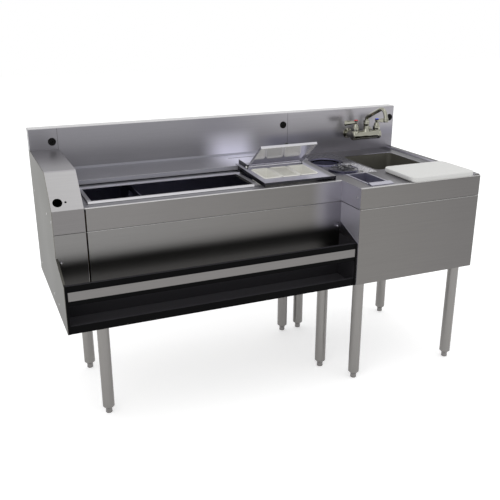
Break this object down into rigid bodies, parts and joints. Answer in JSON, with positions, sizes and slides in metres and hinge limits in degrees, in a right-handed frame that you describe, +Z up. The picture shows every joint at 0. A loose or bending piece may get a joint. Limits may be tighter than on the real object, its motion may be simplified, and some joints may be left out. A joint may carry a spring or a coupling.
{
  "type": "bar sink with ice bin",
  "caption": "Underbar station with an ice bin, a condiment unit, a bottle rail, a drained insert, a bar sink with a wall faucet and a backsplash on tube legs.",
  "frame": {"origin": "centre of the bounding box at the floor", "axes": "+X along the counter to the sink end, +Y to the wall behind the backsplash, +Z up"},
  "size_m": [1.524, 0.631, 0.9654],
  "materials": {
    "steel": "brushed",
    "side_steel": "brushed",
    "cast_aluminium": "satin",
    "drain_metal": "satin",
    "foot_metal": "satin",
    "chrome_plate": "polished",
    "black_paint": "satin",
    "foam": "matte",
    "board_plastic": "matte",
    "pan_plastic": "satin",
    "gray_plastic": "satin",
    "black_plastic": "satin",
    "red_plastic": "gloss",
    "blue_plastic": "gloss",
    "black_rubber": "matte"
  },
  "bodies": {
    "cabinet": {"backsplash_left": "steel", "backsplash_center": "steel", "backsplash_right": "steel", "rear_panel": "steel", "gun_housing": "steel", "housing_front_panel": "steel", "bin_top": "steel", "bin_front_panel": "steel", "ice_tub": "steel", "rear_shelf": "steel", "base_panels": "steel", "station_top": "steel", "station_front_panel": "steel", "station_side_panels": "steel", "screws": "steel", "sink_bowl": "steel", "drain_pan": "steel", "waste_chute": "steel", "rinser_grate": "steel", "rail_strip": "steel", "legs": "steel", "left_side_panel": "side_steel", "tub_insulation": "foam", "cold_plate": "cast_aluminium", "bin_drain": "drain_metal", "sink_drain": "drain_metal", "rinser_base": "steel", "faucet_body": "chrome_plate", "faucet_trim": "chrome_plate", "grommets": "black_rubber", "rail_trough": "black_paint", "rail_frame": "black_paint"},
    "cover": {"bin_cover": "steel"},
    "divider": {"bin_divider": "steel"},
    "condiment_unit": {"condiment_tray": "steel"},
    "lid": {"condiment_lid": "steel", "lid_knob": "black_plastic"},
    "left_pan": {"pan_left": "pan_plastic"},
    "middle_pan": {"pan_middle": "pan_plastic"},
    "right_pan": {"pan_right": "pan_plastic"},
    "board": {"cutting_board": "board_plastic"},
    "insert": {"drain_insert": "steel", "waste_ring": "steel"},
    "rinser_cross": {"rinser_star": "gray_plastic"},
    "caddy": {"tool_caddy": "steel"},
    "strainer": {"sink_strainer": "steel"},
    "hot_lever": {"hot_handle": "chrome_plate", "hot_index": "red_plastic"},
    "cold_lever": {"cold_handle": "chrome_plate", "cold_index": "blue_plastic"},
    "swivel_spout": {"spout": "chrome_plate", "aerator": "chrome_plate"},
    "leveler_1": {"foot_1": "foot_metal"},
    "leveler_2": {"foot_2": "foot_metal"},
    "leveler_3": {"foot_3": "foot_metal"},
    "leveler_4": {"foot_4": "foot_metal"},
    "leveler_5": {"foot_5": "foot_metal"},
    "leveler_6": {"foot_6": "foot_metal"},
    "leveler_7": {"foot_7": "foot_metal"},
    "leveler_8": {"foot_8": "foot_metal"}
  },
  "joints": [
    {"name": "cover_slide", "type": "slide", "parent": "cabinet", "child": "cover", "axis": [0, -1, 0], "range_m": [0, 0.15]},
    {"name": "divider_shift", "type": "slide", "parent": "cabinet", "child": "divider", "axis": [1, 0, 0], "range_m": [-0.12, 0.25]},
    {"name": "condiment_unit_lift", "type": "slide", "parent": "cabinet", "child": "condiment_unit", "axis": [0, 0, 1], "range_m": [0, 0.15]},
    {"name": "lid_hinge", "type": "hinge", "parent": "condiment_unit", "child": "lid", "pos_m": [0.08165, 0.02732, 0.79181], "axis": [-1, 0, 0], "range_deg": [-41, 59]},
    {"name": "left_pan_lift", "type": "slide", "parent": "condiment_unit", "child": "left_pan", "axis": [0, -0.0465, 0.9989], "range_m": [0, 0.014]},
    {"name": "middle_pan_lift", "type": "slide", "parent": "condiment_unit", "child": "middle_pan", "axis": [0, -0.0465, 0.9989], "range_m": [0, 0.014]},
    {"name": "right_pan_lift", "type": "slide", "parent": "condiment_unit", "child": "right_pan", "axis": [0, -0.0465, 0.9989], "range_m": [0, 0.014]},
    {"name": "board_lift", "type": "slide", "parent": "cabinet", "child": "board", "axis": [0, 0, 1], "range_m": [0, 0.15]},
    {"name": "insert_lift", "type": "slide", "parent": "cabinet", "child": "insert", "axis": [0, 0, 1], "range_m": [0, 0.15]},
    {"name": "rinser_press", "type": "slide", "parent": "cabinet", "child": "rinser_cross", "axis": [0, 0, -1], "range_m": [0, 0.005], "stiffness_N_per_m": 900, "springref_m": -0.004},
    {"name": "caddy_lift", "type": "slide", "parent": "cabinet", "child": "caddy", "axis": [0, 0, 1], "range_m": [0, 0.18]},
    {"name": "strainer_lift", "type": "slide", "parent": "cabinet", "child": "strainer", "axis": [0, 0, 1], "range_m": [0, 0.28]},
    {"name": "hot_valve_turn", "type": "hinge", "parent": "cabinet", "child": "hot_lever", "pos_m": [0.5362, 0.2085, 0.89], "axis": [0, 0, 1], "range_deg": [0, 90]},
    {"name": "cold_valve_turn", "type": "hinge", "parent": "cabinet", "child": "cold_lever", "pos_m": [0.6378, 0.2085, 0.89], "axis": [0, 0, 1], "range_deg": [-90, 0]},
    {"name": "spout_swivel", "type": "hinge", "parent": "cabinet", "child": "swivel_spout", "pos_m": [0.587, 0.2085, 0.89], "axis": [0, 0, 1], "range_deg": [-75, 75]},
    {"name": "leveler_1_screw", "type": "slide", "parent": "cabinet", "child": "leveler_1", "axis": [0, 0, -1], "range_m": [0, 0.025]},
    {"name": "leveler_2_screw", "type": "slide", "parent": "cabinet", "child": "leveler_2", "axis": [0, 0, -1], "range_m": [0, 0.025]},
    {"name": "leveler_3_screw", "type": "slide", "parent": "cabinet", "child": "leveler_3", "axis": [0, 0, -1], "range_m": [0, 0.025]},
    {"name": "leveler_4_screw", "type": "slide", "parent": "cabinet", "child": "leveler_4", "axis": [0, 0, -1], "range_m": [0, 0.025]},
    {"name": "leveler_5_screw", "type": "slide", "parent": "cabinet", "child": "leveler_5", "axis": [0, 0, -1], "range_m": [0, 0.025]},
    {"name": "leveler_6_screw", "type": "slide", "parent": "cabinet", "child": "leveler_6", "axis": [0, 0, -1], "range_m": [0, 0.025]},
    {"name": "leveler_7_screw", "type": "slide", "parent": "cabinet", "child": "leveler_7", "axis": [0, 0, -1], "range_m": [0, 0.025]},
    {"name": "leveler_8_screw", "type": "slide", "parent": "cabinet", "child": "leveler_8", "axis": [0, 0, -1], "range_m": [0, 0.025]}
  ]
}
